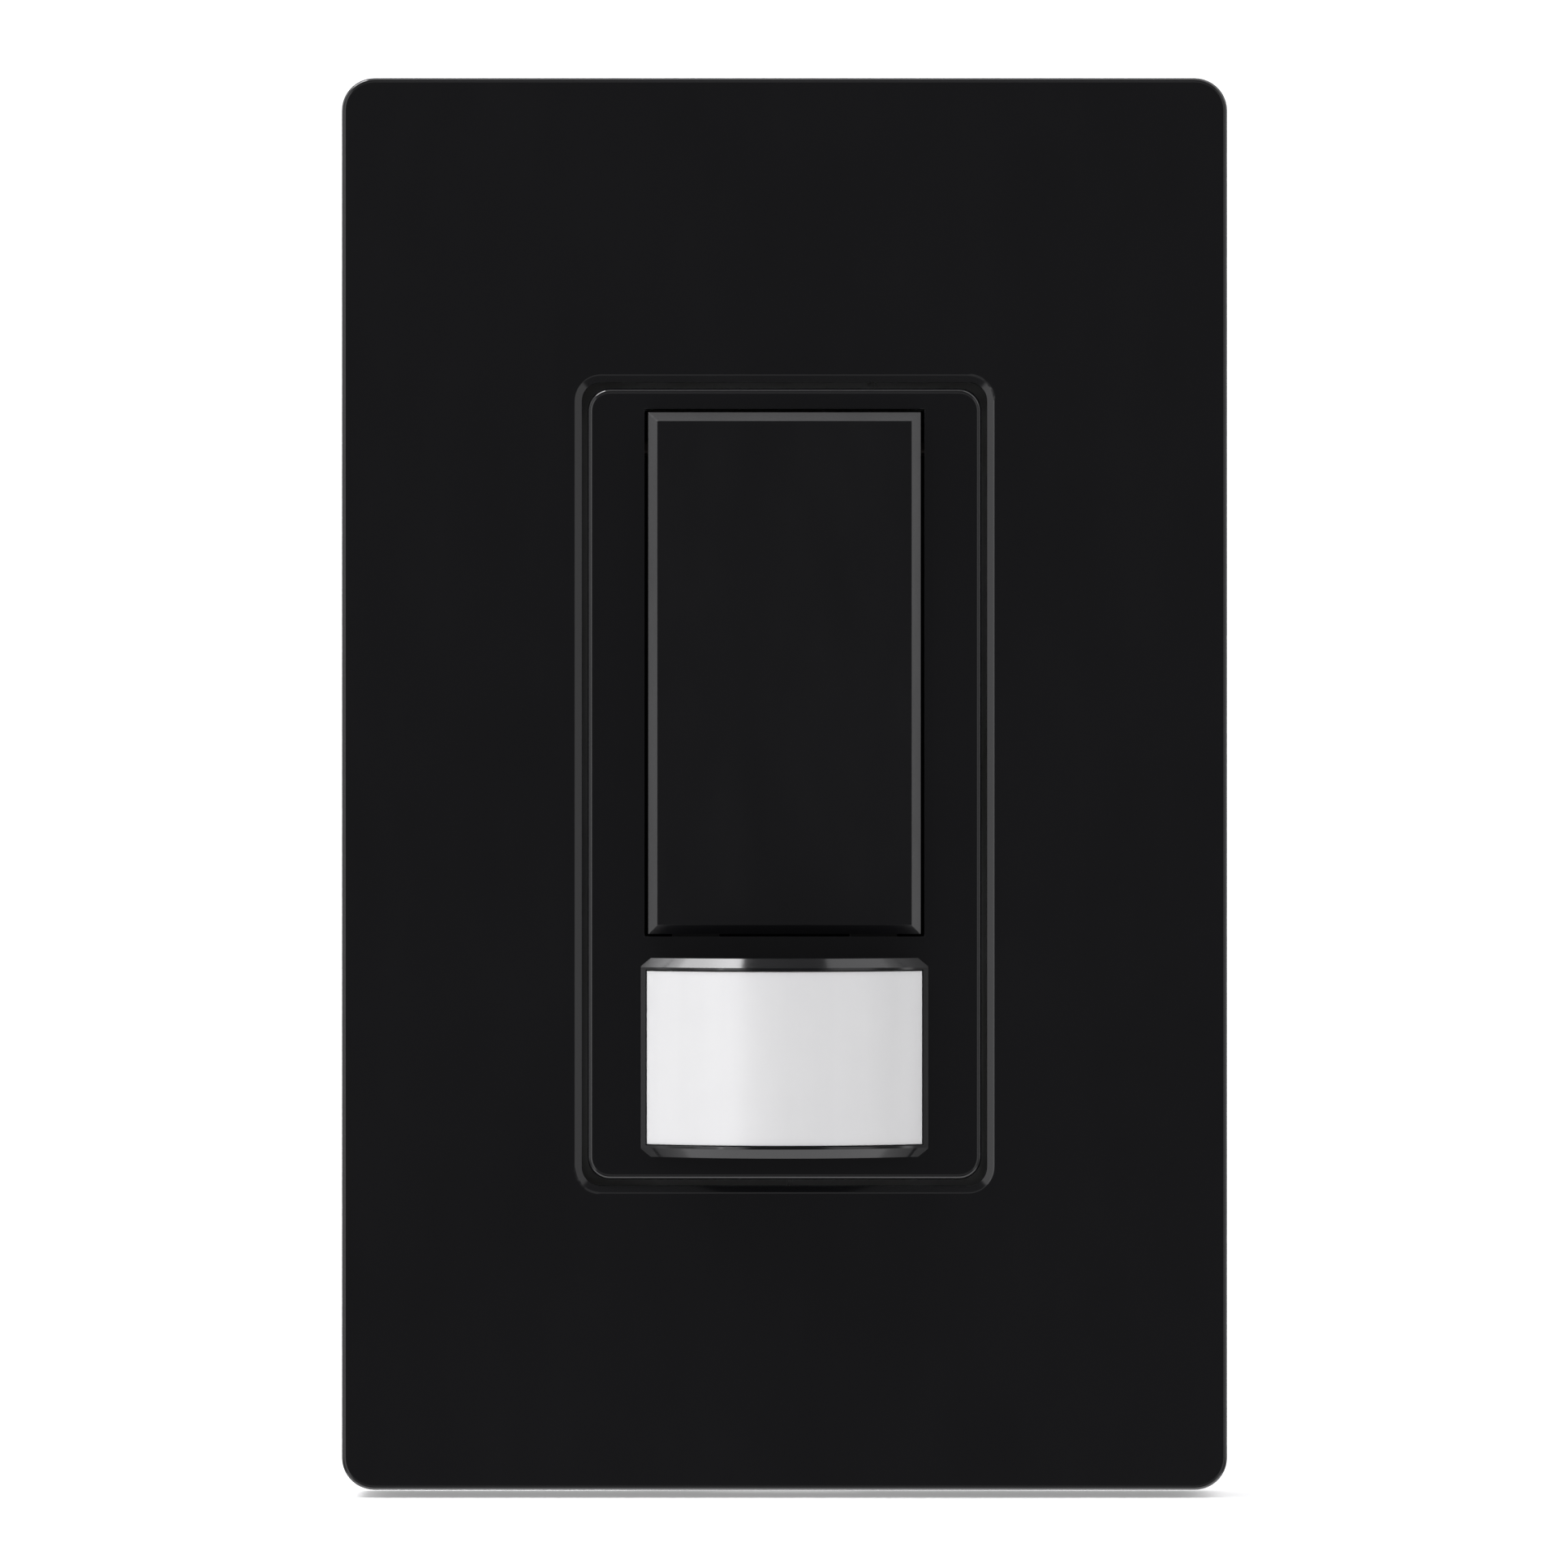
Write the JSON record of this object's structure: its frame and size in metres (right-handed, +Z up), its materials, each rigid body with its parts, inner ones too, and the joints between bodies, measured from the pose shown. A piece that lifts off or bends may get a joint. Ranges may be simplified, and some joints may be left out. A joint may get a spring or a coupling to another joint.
{
  "type": "occupancy-sensing wall tap switch",
  "caption": "Wall switch with a large tap paddle above a bowed white motion-sensor lens, in a screwless black wall plate, with its metal yoke, back housing and internals.",
  "frame": {"origin": "centre of the device on the wall plane, midway between the two box screws", "axes": "+X to the right seen from the room, +Y into the wall, +Z up; the front faces -Y"},
  "size_m": [0.0746, 0.0429, 0.119],
  "materials": {
    "plate_plastic": "near-black satin moulded polycarbonate, very fine grain, faint sheen",
    "inner_black_plastic": "black glass-filled nylon",
    "yoke_steel": "zinc-plated stamped steel",
    "screw_steel": "zinc-plated screw steel",
    "retainer_fibre": "vulcanised fibre",
    "ground_green": "green-dyed zinc plating",
    "bezel_plastic": "near-black satin moulded plastic",
    "lens_plastic": "white translucent polyethylene, satin outside, moulded facets inside",
    "paddle_plastic": "near-black low-gloss plastic, smoother than the frame",
    "dark_steel": "blackened steel pin",
    "spring_steel": "bright spring wire",
    "board_green": "green solder mask over glass-epoxy board",
    "component_black": "black moulding compound",
    "tin": "tin-plated copper",
    "can_metal": "drawn metal can",
    "filter_glass": "dark infrared filter window",
    "led_clear": "clear epoxy dome",
    "sensor_dark": "smoked epoxy dome",
    "housing_plastic": "black satin moulded thermoplastic",
    "brass": "bright brass",
    "silver_metal": "nickel-plated brass",
    "relay_shell": "blue moulded cover",
    "soft_iron": "nickel-plated soft iron",
    "bobbin_white": "natural glass-filled nylon",
    "copper_wire": "enamelled copper winding",
    "cap_sleeve": "dark shrink sleeve over an aluminium can",
    "cap_yellow": "yellow moulded capacitor box",
    "varistor_blue": "blue dipped epoxy",
    "ferrite": "grey-black ferrite",
    "fuse_body": "green-grey lacquered resistor body"
  },
  "bodies": {
    "device": {"plate_adapter": "inner_black_plastic", "yoke": "yoke_steel", "mounting_screws": "screw_steel", "adapter_screws": "screw_steel", "screw_retainers": "retainer_fibre", "ground_screw": "ground_green", "bezel": "bezel_plastic", "fresnel_lens": "lens_plastic", "hinge_pin": "dark_steel", "paddle_springs": "spring_steel", "insulating_tray": "inner_black_plastic", "control_board": "board_green", "tap_switch_base": "component_black", "tap_switch_cover": "tin", "tap_switch_dome": "spring_steel", "sensor_shroud": "inner_black_plastic", "pir_detector": "can_metal", "pir_window": "filter_glass", "status_led": "led_clear", "light_sensor": "sensor_dark", "back_housing": "housing_plastic", "housing_screws": "screw_steel", "power_board": "board_green", "hot_terminal_plates": "brass", "hot_clamp_plates": "brass", "hot_terminal_screws": "brass", "neutral_terminal_plate": "silver_metal", "neutral_clamp_plate": "silver_metal", "neutral_terminal_screw": "silver_metal", "relay_base": "component_black", "relay_case": "relay_shell", "relay_yoke": "soft_iron", "relay_core": "soft_iron", "relay_bobbin": "bobbin_white", "relay_winding": "copper_wire", "relay_fixed_contact": "brass", "relay_return_spring": "spring_steel", "relay_pins": "tin", "bulk_capacitor": "cap_sleeve", "filter_capacitor": "cap_yellow", "varistor": "varistor_blue", "inductor_core": "ferrite", "inductor_winding": "copper_wire", "bridge_rectifier": "component_black", "fuse_resistor": "fuse_body", "microcontroller": "component_black", "microcontroller_leads": "tin", "link_header": "component_black", "link_pins": "brass", "chip_parts": "component_black"},
    "plate": {"wall_plate": "plate_plastic"},
    "tap_paddle": {"paddle": "paddle_plastic"},
    "tap_plunger": {"tap_switch_plunger": "component_black"},
    "armature": {"relay_armature": "soft_iron", "relay_moving_contact": "copper_wire"}
  },
  "joints": [
    {"name": "paddle_press", "type": "hinge", "parent": "device", "child": "tap_paddle", "pos_m": [0, -0.006, 0.0285], "axis": [1, 0, 0], "range_deg": [0, 2], "stiffness_Nm_per_rad": 0.6, "springref_deg": -2.86, "deforming": ["paddle_springs"]},
    {"name": "tap_plunger_travel", "type": "slide", "parent": "device", "child": "tap_plunger", "axis": [0, 1, 0], "range_m": [0, 0.0013]},
    {"name": "relay_armature_close", "type": "hinge", "parent": "device", "child": "armature", "pos_m": [-0.0141, 0.00965, 0.016], "axis": [0, 0, 1], "range_deg": [0, 2], "stiffness_Nm_per_rad": 0.02, "springref_deg": -5.73, "deforming": ["relay_return_spring"]},
    {"name": "wall_plate_pull", "type": "slide", "parent": "device", "child": "plate", "axis": [0, -1, 0], "range_m": [0, 0.02]}
  ],
  "couplings": [
    {"joint": "tap_plunger_travel", "follows": "paddle_press", "m_per_rad": 0.0345}
  ]
}
